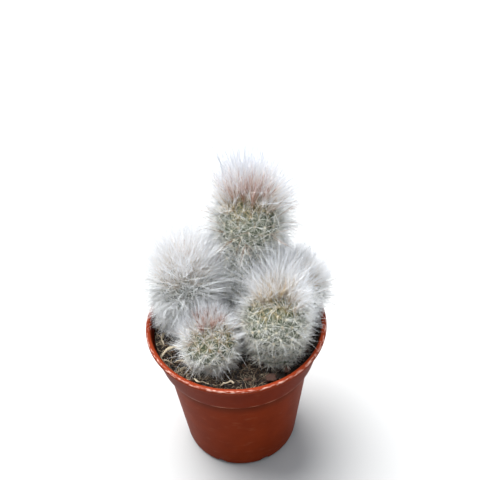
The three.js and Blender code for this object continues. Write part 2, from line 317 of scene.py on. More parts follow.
def dress(piece, material, slot, *stands_for):
    """Gives a finished piece its material, makes it ride on the one body, and hides the CAD nodes
    that it stands for. The slot it is given is not used."""
    piece.data.materials.append(material)
    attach(piece, "root")
    if stands_for:
        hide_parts(*stands_for)


# Terracotta-coloured plastic: satin and faintly mottled, with pale scuffs, painted shade on the
# collar and a painted shadow under its step, a pale edge on the step that is part wear and part
# painted highlight, painted light on the lip, and pinkish flecks along the lip's outer edge.
PLASTIC_DARK = (0.146, 0.0168, 0.0022)
PLASTIC_LIGHT = (0.178, 0.0220, 0.0034)
SCUFF = (0.25, 0.08, 0.045)
COLLAR_PAINTED_SHADE = (0.74, 0.60, 0.5)
STEP_PAINTED_SHADOW = (0.045, 0.008, 0.002)
STEP_HIGHLIGHT_AND_WEAR = (0.34, 0.13, 0.08)
LIP_PAINTED_LIGHT = (0.19, 0.026, 0.008)
LIP_FLECK = (0.50, 0.29, 0.235)

plastic, tree, skin = finish("Terracotta plastic")
moulded = add_grain(tree, 900, 0.18, 0.00012)
colour = ramp(tree, moulded.outputs["Mottle"], (0.3, PLASTIC_DARK), (0.7, PLASTIC_LIGHT))
where = add(tree, "TexCoord").outputs["Object"]
axes = add(tree, "SeparateXYZ", {0: where}).outputs
height = axes["Z"]
level_streaks = add(tree, "Mapping", {"Vector": where, "Scale": (1, 1, 2.5)})
scuffs = noise(tree, level_streaks.outputs[0], 170.0, 7.0)
colour = mix(tree, fade(tree, scuffs, 0.58, 0.76, 0.0, 0.3), colour, SCUFF)

# Painted shade: the collar, which faces down towards the floor, is painted darker than the wall.
collar_shade_mask = between(tree, height, COLLAR_FOOT, COLLAR_FOOT + 1.5, 0.0, 0.8)
colour = mix(tree, collar_shade_mask, colour, COLLAR_PAINTED_SHADE, "MULTIPLY")
# Painted shadow: a dark band painted on the wall just under the step.
under_step = between(tree, height, COLLAR_FOOT - 9.0, COLLAR_FOOT - 2.5)
below_edge = between(tree, height, COLLAR_FOOT + 0.1, COLLAR_FOOT + 0.7, 0.75, 0.0)
colour = mix(tree, times(tree, under_step, below_edge), colour, STEP_PAINTED_SHADOW)
# A pale line on the step's edge, broken up by the scuff noise: part wear, part painted highlight.
edge_low = between(tree, height, COLLAR_FOOT + 0.1, COLLAR_FOOT + 0.5)
edge_high = between(tree, height, COLLAR_FOOT + 0.8, COLLAR_FOOT + 1.5, 1.0, 0.0)
edge_highlight_and_wear = times(tree, times(tree, edge_low, edge_high), fade(tree, scuffs, 0.42, 0.62))
colour = mix(tree, edge_highlight_and_wear, colour, STEP_HIGHLIGHT_AND_WEAR)
# Painted light: the top of the thin lip is painted a brighter orange than the wall.
colour = mix(tree, between(tree, height, POT_HEIGHT - 2.8, POT_HEIGHT - 1.2), colour, LIP_PAINTED_LIGHT)

# The flecks are noise on the way round the rim, the distance from the pot's axis and the height.
turn_about = add(tree, "Math", {0: axes["Y"], 1: axes["X"]}, operation="ARCTAN2")
round_rim = times(tree, turn_about.outputs[0], 0.3 * LIP_RADIUS * MM)
flat = add(tree, "Mapping", {"Vector": where, "Scale": (1, 1, 0)}).outputs[0]
from_axis = add(tree, "VectorMath", {0: flat}, operation="LENGTH").outputs["Value"]
rim_place = add(tree, "CombineXYZ", {"X": round_rim, "Y": from_axis, "Z": height})
flecks = fade(tree, noise(tree, rim_place.outputs[0], 1500.0, 6.0), 0.46, 0.62)
lip_top = between(tree, height, POT_HEIGHT - 1.0, POT_HEIGHT - 0.5)
lip_outside = between(tree, from_axis, LIP_RADIUS - 1.0, LIP_RADIUS - 0.6)
colour = mix(tree, times(tree, times(tree, lip_top, lip_outside), flecks), colour, LIP_FLECK)

satin = fade(tree, moulded.outputs["Speck"], 0.0, 1.0, 0.38, 0.52)
connect(tree, skin, {"Base Color": colour, "Roughness": satin, "Normal": moulded.outputs["Normal"]})
skin.inputs["Specular IOR Level"].default_value = 0.025
dress(pot, plastic, "terracotta_plastic", "pot")

# ---------------------------------------------------------------- Soil
# A root ball of dark peat that fills the pot to a few millimetres below the lip. It is pressed in
# and crumbly on top, where the stems stand in it.

GAP = 0.3
SOIL_LEVEL = 70.0
SOIL_RISE = 1.4
SOIL_LUMP = 0.45
SOIL_SIDES = 300
SOIL_STEP = 0.42


def soil_lumps(x, y):
    """Height of the soil's broad lumps: crossed sine waves on a low dome."""
    reach = np.minimum(1, np.hypot(x, y) / LIP_RADIUS)
    lumps = np.sin(x * 0.43 + 1.3) * np.cos(y * 0.37 - 0.6) + 0.5 * np.sin(x * 0.9 - y * 0.7)
    return SOIL_LEVEL + SOIL_RISE * (1 - reach**2) + SOIL_LUMP * lumps


def soil_top(x, y):
    """Height of the soil with its crumbs: the broad lumps and three finer ripples."""
    flat = np.stack([x, y, 0 * x], -1)
    return (
        soil_lumps(x, y)
        + 0.42 * np.abs(ripple(flat, 5.0, 21))
        + 0.26 * ripple(flat, 2.1, 22)
        + 0.12 * ripple(flat, 0.9, 23)
        - 0.25
    )


soil_edge = collar_inside(SOIL_LEVEL) - GAP
soil_side = rounded(
    [
        (0.0, FLOOR + GAP, 0),
        (FOOT_RADIUS - WALL - GAP, FLOOR + GAP, 2.0),
        (BODY_TOP_RADIUS - WALL - GAP, COLLAR_FOOT + WALL + GAP, 0.5),
        (COLLAR_FOOT_RADIUS - WALL - GAP, COLLAR_FOOT + WALL + GAP, 0.5),
        (soil_edge, SOIL_LEVEL - 0.6, 0),
    ]
)
soil_rings = np.linspace(soil_edge, 0, int(soil_edge / SOIL_STEP))
soil_surface = np.stack([soil_rings, np.full_like(soil_rings, SOIL_LEVEL)], -1)
soil_outline = np.vstack([soil_side, soil_surface])
soil_grid = turned(soil_outline, SOIL_SIDES)
top = slice(len(soil_side), None)
soil_grid[:, top, 2] = soil_top(soil_grid[:, top, 0], soil_grid[:, top, 1])
soil = surface("peat_soil", soil_grid)


def earthy(name, features, bump_strength, depth, roughness, *stops, specular=0.5):
    """A dull, crumbly material: the grain's bump, and colours by the grain's specks."""
    material, tree, skin = finish(name)
    grainy = add_grain(tree, features, bump_strength, depth).outputs
    colour = ramp(tree, grainy["Speck"], *stops)
    connect(tree, skin, {"Base Color": colour, "Roughness": roughness, "Normal": grainy["Normal"]})
    skin.inputs["Specular IOR Level"].default_value = specular
    return material


peat = earthy(
    "Peat", 1500, 0.9, 0.0006, 0.95,
    (0.32, (0.004, 0.003, 0.0024)),
    (0.52, (0.013, 0.0085, 0.006)),
    (0.66, (0.038, 0.022, 0.014)),
    (0.80, (0.12, 0.075, 0.048)),
    specular=0.25,
)
dress(soil, peat, "peat", "soil")

# ---------------------------------------------------------------- Stems
# Five stems of one clump: a tall column at the back and four globes round it. Each is firm green
# flesh under a thin skin, covered with low warts in spirals, and every wart ends in an areole,
# the felted dot that its spines and wool grow from. They stand a few millimetres deep in the soil.

STEM_NAMES = ["tall", "left", "front_left", "front_right", "right"]
AREOLE_SPACING = 3.9
WART_HEIGHT = 0.95
WART_WIDTH = 1.55
STEM_SIDES = 128
STEM_STEP = 0.55
GOLDEN_TURN = np.pi * (3 - np.sqrt(5))
HEXAGON_SHARE = 0.866  # an areole's share of the skin, of its spacing squared
BURIED_SHARE = 0.06  # of the skin, at the foot, where there are no areoles
AREOLE_RISE = 0.8  # of the wart's height
SKIN_RIPPLE = 0.08


def measure_stem(name):
    """Foot, direction, length and (height, radius) outline of a stem's CAD solid. The tip is
    the point furthest along the axis and the foot is the middle of its flat end."""
    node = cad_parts[f"stem_{name}"]
    points = np.empty(len(node.data.vertices) * 3)
    node.data.vertices.foreach_get("co", points)
    points = points.reshape(-1, 3) / MM
    axis = np.array([0.0, 0.0, 1.0])
    for _ in range(6):
        along = points @ axis
        foot = points[along < along.min() + 0.05].mean(0)
        tip = points[along.argmax()]
        axis = (tip - foot) / np.linalg.norm(tip - foot)
    along = (points - foot) @ axis
    radius = np.linalg.norm(points - foot - along[:, None] * axis, axis=1)
    heights = np.unique(np.round(along, 1))
    radii = [radius[np.abs(along - h) < 0.11].mean() for h in heights[1:-1]]
    return {
        "name": name,
        "foot": foot,
        "axis": axis,
        "length": along.max(),
        "tip": foot + along.max() * axis,
        "heights": np.concatenate([[0], heights[1:-1], [along.max()]]),
        "radii": np.array([radii[0], *radii, 0.0]),
    }


def swing(angle, first, second):
    """Directions that turn by an angle from the first towards the second."""
    return np.cos(angle)[..., None] * first + np.sin(angle)[..., None] * second


def sideways(stem, angle):
    """Directions square to a stem's axis, at angles about it."""
    first = unit(np.cross(stem["axis"], (0, 1, 0)))
    return swing(angle, first, np.cross(stem["axis"], first))


def stem_outline(stem):
    """Evenly spaced (radius, height) points from a stem's foot to its tip, smoothed so that the
    solid's flats don't show, with their distances from the tip."""
    heights = np.linspace(0, stem["length"], 400)
    radii = np.interp(heights, stem["heights"], stem["radii"])
    dome = stem["radii"].max()
    from_tip = stem["length"] - heights
    cap = np.sqrt(np.maximum(0, dome**2 - np.maximum(0, dome - from_tip) ** 2))
    radii = np.where(from_tip < dome, cap, np.minimum(radii, dome))
    steps = np.hypot(np.diff(radii), np.diff(heights))
    along = np.concatenate([[0], np.cumsum(steps)])
    even = np.linspace(0, along[-1], int(along[-1] / STEM_STEP))
    outline = np.stack([np.interp(even, along, radii), np.interp(even, along, heights)], -1)
    return outline, along[-1] - even


def on_stem(stem, radius, height, angle):
    """Points in the frame at a radius, a height along the axis and an angle about it."""
    out = radius[..., None] * sideways(stem, angle)
    return stem["foot"] + height[..., None] * stem["axis"] + out


def place_areoles(stem):
    """Areoles on a spiral from the tip down. Each holds the same share of the skin's area, and
    each is turned by the golden angle from the last, so they fall in crossing spirals."""
    outline, from_tip = stem_outline(stem)
    outline, from_tip = outline[::-1], from_tip[::-1]
    ring = 2 * np.pi * outline[:, 0] * np.gradient(from_tip)
    area = np.cumsum(ring)
    share = AREOLE_SPACING**2 * HEXAGON_SHARE
    wanted = np.arange(0.5, (1 - BURIED_SHARE) * area[-1] / share) * share
    distance = np.interp(wanted, area, from_tip)
    radius = np.interp(wanted, area, outline[:, 0])
    height = np.interp(wanted, area, outline[:, 1])
    angle = np.arange(len(wanted)) * GOLDEN_TURN
    slope_r = np.interp(distance, from_tip, np.gradient(outline[:, 0], from_tip))
    slope_h = np.interp(distance, from_tip, np.gradient(outline[:, 1], from_tip))
    spread = sideways(stem, angle)
    to_tip = unit(-(slope_r[:, None] * spread + slope_h[:, None] * stem["axis"]))
    outward = spread - (spread * to_tip).sum(1, keepdims=True) * to_tip
    outward = unit(outward + 1e-6 * stem["axis"])
    root = on_stem(stem, radius, height, angle)
    areoles = {
        "root": root + outward * WART_HEIGHT * AREOLE_RISE,
        "outward": outward,
        "to_tip": to_tip,
        "across": np.cross(outward, to_tip),
        "distance": distance,
    }
    above_soil = root[:, 2] > SOIL_LEVEL + 0.5
    stem["areoles"] = {key: value[above_soil] for key, value in areoles.items()}


def wart_shape(grid, centres):
    """How far up a wart each point of the skin is, from 0 to 1: a bell curve of its distance to
    the nearest areole, with WART_WIDTH as its spread."""
    flat = grid.reshape(-1, 3)
    nearest = np.full(len(flat), 1e9)
    for start in range(0, len(flat), 4000):
        block = flat[start : start + 4000]
        gap = ((block[:, None] - centres[None]) ** 2).sum(-1)
        nearest[start : start + 4000] = gap.min(1)
    return np.exp(-nearest / (2 * WART_WIDTH**2)).reshape(grid.shape[:2])


green, tree, skin = finish("Green flesh")
fleshy = add_grain(tree, 700, 0.25, 0.0003)
flesh_colour = ramp(
    tree, fleshy.outputs["Mottle"], (0.3, (0.026, 0.042, 0.016)), (0.7, (0.066, 0.090, 0.038))
)
pale_specks = fade(tree, fleshy.outputs["Speck"], 0.55, 0.75)
flesh_colour = mix(tree, pale_specks, flesh_colour, (0.16, 0.20, 0.11))
flesh_normal = fleshy.outputs["Normal"]
connect(tree, skin, {"Base Color": flesh_colour, "Roughness": 0.5, "Normal": flesh_normal})

stems = [measure_stem(name) for name in STEM_NAMES]
for stem in stems:
    place_areoles(stem)
    radius, height = stem_outline(stem)[0].T
    angle = around(STEM_SIDES)
    smooth = on_stem(stem, radius + 0 * angle, height + 0 * angle, angle + 0 * radius)
    wart = wart_shape(smooth, stem["areoles"]["root"])
    away = smooth - (stem["foot"] + height[:, None] * stem["axis"])
    spread = away / np.maximum(np.linalg.norm(away, axis=2, keepdims=True), 1e-6)
    push = (WART_HEIGHT * (wart - 0.5) + SKIN_RIPPLE * ripple(smooth, 2.4, 31))[..., None]
    pole_fade = np.clip(radius / 3, 0, 1)[None, :, None]
    flesh_grid = smooth + spread * push * pole_fade
    base = np.broadcast_to(stem["foot"], (STEM_SIDES, 1, 3))
    flesh = surface(f"flesh_{stem['name']}", np.concatenate([base, flesh_grid], 1))
    dress(flesh, green, "green_flesh", f"stem_{stem['name']}")

# ---------------------------------------------------------------- Radial spines
# Every areole is a dot of white felt with a star of straight, glassy spines that lie close to the
# skin, white on old areoles and straw yellow on the young ones at the tip. They cross those of
# the next areoles, so that the green shows through a pale net.

STRAND_COLUMNS = 64
RADIALS_PER_AREOLE = 24
RADIAL_RADIUS = 0.085
RADIAL_LENGTH = (3.0, 7.2)
RADIAL_LIFT = (0.08, 0.85)  # radians off the skin
FELT_SIZE = (0.55, 0.85)
YOUNG_REACH = 10.5  # from the tip, along the skin


def triangle_object(name, verts, corners, u, v):
    """An object from points in millimetres, three point numbers for each triangle, and a UV map
    with a place for each of them."""
    corners = corners.reshape(-1).astype(np.int32)
    mesh = bpy.data.meshes.new(name)
    mesh.vertices.add(verts.size // 3)
    mesh.vertices.foreach_set("co", (verts * MM).ravel())
    mesh.loops.add(len(corners))
    mesh.loops.foreach_set("vertex_index", corners)
    mesh.polygons.add(len(corners) // 3)
    mesh.polygons.foreach_set("loop_start", np.arange(0, len(corners), 3, dtype=np.int32))
    mesh.update(calc_edges=True)
    layer = mesh.uv_layers.new(name="OFBake")
    layer.uv.foreach_set("vector", np.stack([u, v], -1).astype(np.float32).ravel())
    return link_object(name, mesh)


def strand_mesh(name, line, thickness, rng):
    """An object of tapered three-sided strands. line is the middle line of each strand, as
    (strands, points, 3), and thickness is its radius at each point. Ring i is three points a
    third of a turn apart about the line, and the last point is a single tip. The UV map has a
    column for each of a few kinds of strand and runs up the column from root to tip."""
    strands, points = line.shape[:2]
    forward = unit(np.gradient(line, axis=1))
    first = unit(np.cross(forward, rng.normal(size=(strands, 1, 3))))
    second = np.cross(forward, first)
    angle = 2 * np.pi * np.arange(3) / 3
    out = swing(angle, first[:, :-1, None], second[:, :-1, None])
    rings = line[:, :-1, None] + out * thickness[:, :-1, None, None]
    verts = np.concatenate([rings.reshape(strands, -1, 3), line[:, -1:]], 1)

    tip, triangles, across, along = (points - 1) * 3, [], [], []
    for i in range(points - 2):
        low, high = i / (points - 1), (i + 1) / (points - 1)
        for j in range(3):
            a, b = i * 3 + j, i * 3 + (j + 1) % 3
            triangles += [(a, b, b + 3), (a, b + 3, a + 3)]
            across += [(j, j + 1, j + 1), (j, j + 1, j)]
            along += [(low, low, high), (low, high, high)]
    last = (points - 2) * 3
    for j in range(3):
        triangles.append((last + j, last + (j + 1) % 3, tip))
        across.append((j, j + 1, j + 0.5))
        along.append(((points - 2) / (points - 1),) * 2 + (1.0,))
    triangles.append((0, 2, 1))
    across.append((0, 3, 1.5))
    along.append((0.0, 0.0, 0.02))
    triangles, across, along = np.array(triangles), np.array(across), np.array(along)

    base = np.arange(strands)[:, None, None] * verts.shape[1]
    kind = rng.integers(0, STRAND_COLUMNS, strands)
    u = (kind[:, None, None] + 0.15 + 0.7 * across[None] / 3) / STRAND_COLUMNS
    v = np.broadcast_to(along[None], u.shape)
    piece = triangle_object(name, verts, base + triangles[None], u, v)
    piece.data.shade_smooth()
    return piece


def lump_mesh(name, centre, size, rng):
    """Many small lumps as one object: each is a twenty-sided solid with its corners moved at
    random by up to a third, squashed and turned. Its UV column is its kind."""
    golden = (1 + np.sqrt(5)) / 2
    corner = np.array(
        [(-1, golden, 0), (1, golden, 0), (-1, -golden, 0), (1, -golden, 0)]
        + [(0, -1, golden), (0, 1, golden), (0, -1, -golden), (0, 1, -golden)]
        + [(golden, 0, -1), (golden, 0, 1), (-golden, 0, -1), (-golden, 0, 1)]
    ) / np.hypot(1, golden)
    spans = np.linalg.norm(corner[:, None] - corner[None], axis=2)
    near = (spans < 1.1) & (spans > 0.1)
    a, b, c = np.nonzero(near[:, :, None] & near[None] & near[:, None, :])
    first = (a < b) & (b < c)
    faces = np.stack([a, b, c], -1)[first]
    a, b, c = corner[faces].transpose(1, 0, 2)
    inward = (np.cross(b - a, c - a) * (a + b + c)).sum(1) < 0
    faces[inward] = faces[inward][:, ::-1]
    shape = corner[None] * rng.uniform(0.67, 1.2, (len(centre), 12, 1))
    shape = shape * rng.uniform(0.55, 1.1, (len(centre), 1, 3))
    turn = rng.normal(size=(len(centre), 3, 3))
    turn, _ = np.linalg.qr(turn)
    turn *= np.sign(np.linalg.det(turn))[:, None, None]
    verts = np.einsum("nij,nkj->nki", turn, shape) * size[:, None, None] + centre[:, None]
    corners = np.arange(len(centre))[:, None, None] * 12 + faces[None]
    kind = rng.integers(0, STRAND_COLUMNS, len(centre))[:, None, None]
    u = (kind + np.array([0.2, 0.8, 0.5])) / STRAND_COLUMNS + np.zeros((1, len(faces), 1))
    v = np.array([0.2, 0.25, 0.8]) + np.zeros((len(centre), len(faces), 1))
    return triangle_object(name, verts, corners, u, v)


STANDS_PROUD = 9.0  # how far hairs may stand out of the CAD model's box
SKIN_GAP = 0.12
WALL_GAP = 0.5
LIP_GAP = 0.3
GROUND_GAP = 0.4


def grow(root, aim, length, points, bend, wave, rng):
    """Middle lines of strands: from each root along its aim for its length, curving towards
    bend as the square of the way along, with a sideways wave that grows from the root."""
    u = np.linspace(0, 1, points)[None, :, None]
    length = length[:, None, None]
    aim = aim[:, None]
    turn = rng.uniform(0, 2 * np.pi, (len(root), 1, 1))
    pace = rng.uniform(3, 7, (len(root), 1, 1))
    side = unit(np.cross(aim, rng.normal(size=(len(root), 1, 3))))
    other = np.cross(aim, side)
    sway = side * (np.sin(turn + pace * u) - np.sin(turn))
    sway = sway + other * (np.cos(turn + pace * u) - np.cos(turn))
    line = root[:, None] + length * (aim * u + bend[:, None] * u**2)
    return line + wave[:, None, None] * sway * u


def keep_clear(line):
    """Lines shortened to end inside the CAD model's box and a few millimetres round it, then
    pushed out of every stem's flesh, up out of the soil and in from the pot's wall."""
    low, high = (np.array(corner) / MM for corner in cad_box)
    over = np.maximum(line - high - STANDS_PROUD, low - STANDS_PROUD - line).max(-1)
    longest = np.abs(line - line[:, :1]).max(-1)
    share = 1 - np.clip(over / np.maximum(longest, 1e-6), 0, 0.9).max(1)
    line = line[:, :1] + (line - line[:, :1]) * share[:, None, None]
    for stem in stems:
        offset = line - stem["foot"]
        height = offset @ stem["axis"]
        aside = offset - height[..., None] * stem["axis"]
        radius = np.maximum(np.linalg.norm(aside, axis=-1), 1e-6)
        limit = np.interp(height, stem["heights"], stem["radii"], left=0, right=0)
        limit += SKIN_GAP
        inside = (radius < limit) & (height > 0) & (height < stem["length"])
        push = np.where(inside, (limit - radius) / radius, 0)
        push[:, 0] = 0
        line += aside * push[..., None]
    wall = collar_inside(line[..., 2]) - WALL_GAP
    reach = np.hypot(line[..., 0], line[..., 1])
    held = (line[..., 2] < POT_HEIGHT + LIP_GAP) & (reach > wall)
    line[..., :2] *= np.where(held, wall / np.maximum(reach, 1e-6), 1)[..., None]
    ground = soil_lumps(line[..., 0], line[..., 1]) + GROUND_GAP
    line[..., 2] = np.maximum(line[..., 2], ground)
    return line


# Strand shade: how far along a strand a point is, and a random number for its kind of strand.
strand_shade, _, shade_out = new_group(
    "Strand shade", {}, {"Along": "Float", "Kind": "Float", "Warmth": "Float"}
)
strand_uv = add(strand_shade, "UVMap", uv_map="OFBake").outputs["UV"]
parts = add(strand_shade, "SeparateXYZ", {0: strand_uv}).outputs
column = times(strand_shade, parts["X"], STRAND_COLUMNS)
whole = add(strand_shade, "Math", {0: column}, operation="FLOOR").outputs[0]
random_kind = add(strand_shade, "TexWhiteNoise", {"W": whole}, noise_dimensions="1D")
kinds = add(strand_shade, "SeparateColor", {0: random_kind.outputs["Color"]}).outputs
connect(strand_shade, shade_out, {"Along": parts["Y"], "Kind": kinds[0], "Warmth": kinds[1]})


def strand_finish(name, darker, warmer, roughness, *stops):
    """A strand material: colours from root to tip, some kinds darker and some warmer."""
    material, tree, skin = finish(name)
    shade = add(tree, "Group", node_tree=strand_shade).outputs
    colour = ramp(tree, shade["Along"], *stops)
    dark = fade(tree, shade["Kind"], 0.0, 1.0, 0.0, darker)
    colour = mix(tree, dark, colour, (0.30, 0.29, 0.27), "MULTIPLY")
    warm = fade(tree, shade["Warmth"], 0.5, 1.0, 0.0, 0.8)
    colour = mix(tree, warm, colour, warmer)
    connect(tree, skin, {"Base Color": colour, "Roughness": roughness})
    return material


glassy_white = strand_finish(
    "Glassy white spines", 0.35, (0.82, 0.75, 0.58), 0.4,
    (0.0, (0.52, 0.50, 0.36)), (0.25, (0.84, 0.84, 0.75)), (1.0, (0.93, 0.94, 0.90)),
)
straw_yellow = strand_finish(
    "Straw-yellow young spines", 0.35, (0.70, 0.52, 0.28), 0.4,
    (0.0, (0.46, 0.34, 0.10)), (0.4, (0.74, 0.62, 0.36)), (1.0, (0.90, 0.84, 0.70)),
)
felt = strand_finish(
    "Areole felt", 0.3, (0.72, 0.62, 0.42), 0.9,
    (0.0, (0.62, 0.57, 0.42)), (0.6, (0.86, 0.83, 0.72)), (1.0, (0.93, 0.92, 0.86)),
)
for number, stem in enumerate(stems):
    rng = np.random.default_rng(40 + number)
    areoles = stem["areoles"]
    count = len(areoles["root"])
    felt_centre = areoles["root"] + 0.25 * areoles["outward"]
    felt_size = rng.uniform(*FELT_SIZE, count)
    dots = lump_mesh(f"areole_felt_{stem['name']}", felt_centre, felt_size, rng)
    dress(dots, felt, "white_wool")
    angle = np.linspace(0, 2 * np.pi, RADIALS_PER_AREOLE, endpoint=False)
    angle = angle + rng.uniform(-0.2, 0.2, (count, RADIALS_PER_AREOLE))
    lift = rng.uniform(*RADIAL_LIFT, angle.shape)
    level_aim = swing(angle, areoles["to_tip"][:, None], areoles["across"][:, None])
    aim = swing(lift, level_aim, areoles["outward"][:, None])
    root = np.repeat(areoles["root"], RADIALS_PER_AREOLE, 0)
    length = rng.uniform(*RADIAL_LENGTH, len(root))[:, None]
    line = keep_clear(np.stack([root, root + length * aim.reshape(-1, 3)], 1))
    thickness = RADIAL_RADIUS * rng.lognormal(0, 0.3, (len(root), 1)) * np.array([1.0, 0.0])
    young = np.repeat(areoles["distance"], RADIALS_PER_AREOLE) < YOUNG_REACH
    for name, some, material in (
        (f"radial_spines_{stem['name']}", ~young, glassy_white),
        (f"young_spines_{stem['name']}", young, straw_yellow),
    ):
        dress(strand_mesh(name, line[some], thickness[some], rng), material, "white_wool")

# ---------------------------------------------------------------- Wool
# Long soft white hairs, which are spines too, grow in tufts from the same areoles, with single
# guard hairs between them. They are brush-like round the tip, a halo at the side, and matted low
# down, where they hang on the soil. On one side of a stem they are thinner than on the other.

WOOL = {
    # lengths at the side and tip, reach of the long wool from the tip and how upright it is,
    # tufts on an areole, the thin side and how thin it is, how much shorter it is low down
    "tall": (10.5, 48.0, 16.0, 0.85, 4, (0.0, -0.9, 0.3), 1.0, 0.45),
    "left": (12.0, 44.0, 13.5, 0.85, 6, (0.6, -0.75, -0.1), 0.1, 0.3),
    "front_left": (8.0, 17.0, 10.0, 0.7, 5, (0.2, -0.9, 0.2), 0.8, 0.5),
    "front_right": (8.0, 42.0, 9.5, 1.1, 4, (-0.2, -0.9, 0.3), 1.0, 0.7),
    "right": (10.5, 20.0, 11.0, 0.75, 5, (0.3, -0.9, -0.4), 0.15, 0.4),
}
COAT_PARTS = ("side", "tip", "young", "upright", "tufts", "open", "bare", "worn")
WOOL = {name: dict(zip(COAT_PARTS, row)) for name, row in WOOL.items()}
TUFT_HAIRS = 8
TUFT_ROOT = 0.35
LEAN_BACK = np.array([0, 0.25, 0])
LEAD_SPREAD = 0.30
FOLLOWER_SPREAD = 0.38
DROOP = np.array([0, 0, 0.08])
TIP_REACH = 12.0  # from the tip, along the skin
TIP_TUFTS = 11
HAIR_RADIUS = 0.049
HAIR_TAPER = [(0, 1.0), (0.5, 0.95), (0.85, 0.6), (1, 0.0)]
GUARD_HAIRS = 5
GUARD_RADIUS = 0.055
GUARD_SPREAD = 0.42
MOST_TRIANGLES = 190000  # in one piece

white_wool = strand_finish(
    "White wool", 0.06, (0.92, 0.90, 0.84), 0.6,
    (0.0, (0.74, 0.74, 0.68)), (0.2, (0.93, 0.945, 0.95)),
    (0.65, (0.95, 0.965, 0.98)), (1.0, (0.80, 0.815, 0.85)),
)
grey_tipped_wool = strand_finish(
    "Grey-tipped wool", 0.06, (0.94, 0.90, 0.86), 0.6,
    (0.0, (0.50, 0.34, 0.14)), (0.16, (0.74, 0.58, 0.40)), (0.36, (0.93, 0.92, 0.92)),
    (0.62, (0.72, 0.75, 0.81)), (1.0, (0.58, 0.62, 0.70)),
)
tip_wool = strand_finish(
    "Tip wool", 0.06, (0.94, 0.90, 0.86), 0.6,
    (0.0, (0.52, 0.37, 0.17)), (0.16, (0.80, 0.66, 0.50)), (0.36, (0.95, 0.95, 0.95)),
    (0.70, (0.90, 0.92, 0.95)), (1.0, (0.74, 0.77, 0.84)),
)


def tufts(stem, coat, chosen, each, points, rng):
    """Middle lines of the wool of some areoles. A tuft is a leading hair and its followers: each
    follower starts beside it with an aim of its own, and closes on it along the way, by a share
    that grows from nothing at the root to its own strength at the tip."""
    areoles = stem["areoles"]
    thin_side = unit(np.array(coat["open"]))
    facing = areoles["outward"] @ thin_side
    facing = np.maximum(facing, (areoles["root"] - stem["tip"]) @ thin_side / 7.0)
    openness = np.clip(1.25 * facing, 0, 1) * coat["bare"]
    lead = np.repeat(chosen, each)
    lead = lead[rng.uniform(0, 1, len(lead)) > openness[lead]]
    distance = areoles["distance"][lead]
    young = np.exp(-((distance / coat["young"]) ** 2))
    old = np.clip((distance - 0.5 * stem["length"]) / (0.4 * stem["length"]), 0, 1)
    aim = unit(
        areoles["outward"][lead] * (1.0 - 0.25 * young)[:, None]
        + areoles["to_tip"][lead] * (0.25 * (1 - young) - 0.6 * old)[:, None]
        + areoles["across"][lead] * rng.normal(0, 0.45, len(lead))[:, None]
        + (stem["axis"] + LEAN_BACK) * (coat["upright"] * young)[:, None]
        + LEAD_SPREAD * rng.normal(size=(len(lead), 3))
    )
    length = coat["side"] + (coat["tip"] - coat["side"]) * young
    length *= rng.uniform(0.6, 1.1, len(lead)) * (1 - coat["worn"] * old) * (1 - 0.6 * openness[lead])
    bend = 0.10 * rng.normal(size=(len(lead), 3)) - DROOP
    wave = rng.uniform(0.1, 0.35, len(lead)) * (1 + old)
    leader = grow(areoles["root"][lead], aim, length, points, bend, wave, rng)

    owner = np.repeat(np.arange(len(lead)), TUFT_HAIRS)
    own_root = areoles["root"][lead][owner] + rng.normal(0, TUFT_ROOT, (len(owner), 3))
    own_aim = unit(aim[owner] + FOLLOWER_SPREAD * rng.normal(size=(len(owner), 3)))
    own_length = length[owner] * rng.uniform(0.6, 1.15, len(owner))
    own_bend = bend[owner] + 0.12 * rng.normal(size=(len(owner), 3))
    own_wave = rng.uniform(0.1, 0.5, len(owner))
    own = grow(own_root, own_aim, own_length, points, own_bend, own_wave, rng)
    strength = rng.beta(1.3, 2.2, len(owner)) * (1 - 0.85 * openness[lead][owner])
    closing = strength[:, None, None] * np.linspace(0, 1, points)[None, :, None] ** 0.8
    return keep_clear(own + closing * (leader[owner] - own))


for number, stem in enumerate(stems):
    coat = WOOL[stem["name"]]
    rng = np.random.default_rng(60 + number)
    distance = stem["areoles"]["distance"]
    tips = grey_tipped_wool if stem["name"] == "tall" else tip_wool
    coats = [
        (f"tip_wool_{stem['name']}", distance < TIP_REACH, TIP_TUFTS, 6, tips),
        (f"side_wool_{stem['name']}", distance >= TIP_REACH, coat["tufts"], 4, white_wool),
    ]
    for name, chosen, each, points, material in coats:
        line = tufts(stem, coat, np.flatnonzero(chosen), each, points, rng)
        taper = np.interp(np.linspace(0, 1, points), *np.transpose(HAIR_TAPER))
        thickness = HAIR_RADIUS * rng.lognormal(0, 0.35, (len(line), 1)) * taper
        pieces = int(np.ceil(len(line) * ((points - 2) * 6 + 4) / MOST_TRIANGLES))
        for part, some in enumerate(np.array_split(np.arange(len(line)), pieces)):
            hairs = strand_mesh(f"{name}_{part + 1}", line[some], thickness[some], rng)
            dress(hairs, material, "white_wool")
            if part == 0 and material is white_wool:
                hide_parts(f"wool_{stem['name']}")

    lead = np.repeat(np.flatnonzero(distance >= 0.5 * TIP_REACH), GUARD_HAIRS)
    aim = unit(
        stem["areoles"]["outward"][lead]
        + 0.2 * stem["areoles"]["to_tip"][lead]
        + GUARD_SPREAD * rng.normal(size=(len(lead), 3))
    )
    low_down = np.clip(distance[lead] / stem["length"] - 0.5, 0, 0.4) / 0.4
    length = coat["side"] * rng.uniform(0.7, 1.75, len(lead)) * (1 - coat["worn"] * low_down)
    bend = 0.12 * rng.normal(size=(len(lead), 3)) - DROOP
    wave = np.full(len(lead), 0.15)
    line = keep_clear(grow(stem["areoles"]["root"][lead], aim, length, 4, bend, wave, rng))
    thickness = GUARD_RADIUS * rng.lognormal(0, 0.25, (len(lead), 1)) * np.array([1.0, 0.9, 0.6, 0.0])
    guard = strand_mesh(f"guard_hairs_{stem['name']}", line, thickness, rng)
    dress(guard, white_wool, "white_wool")

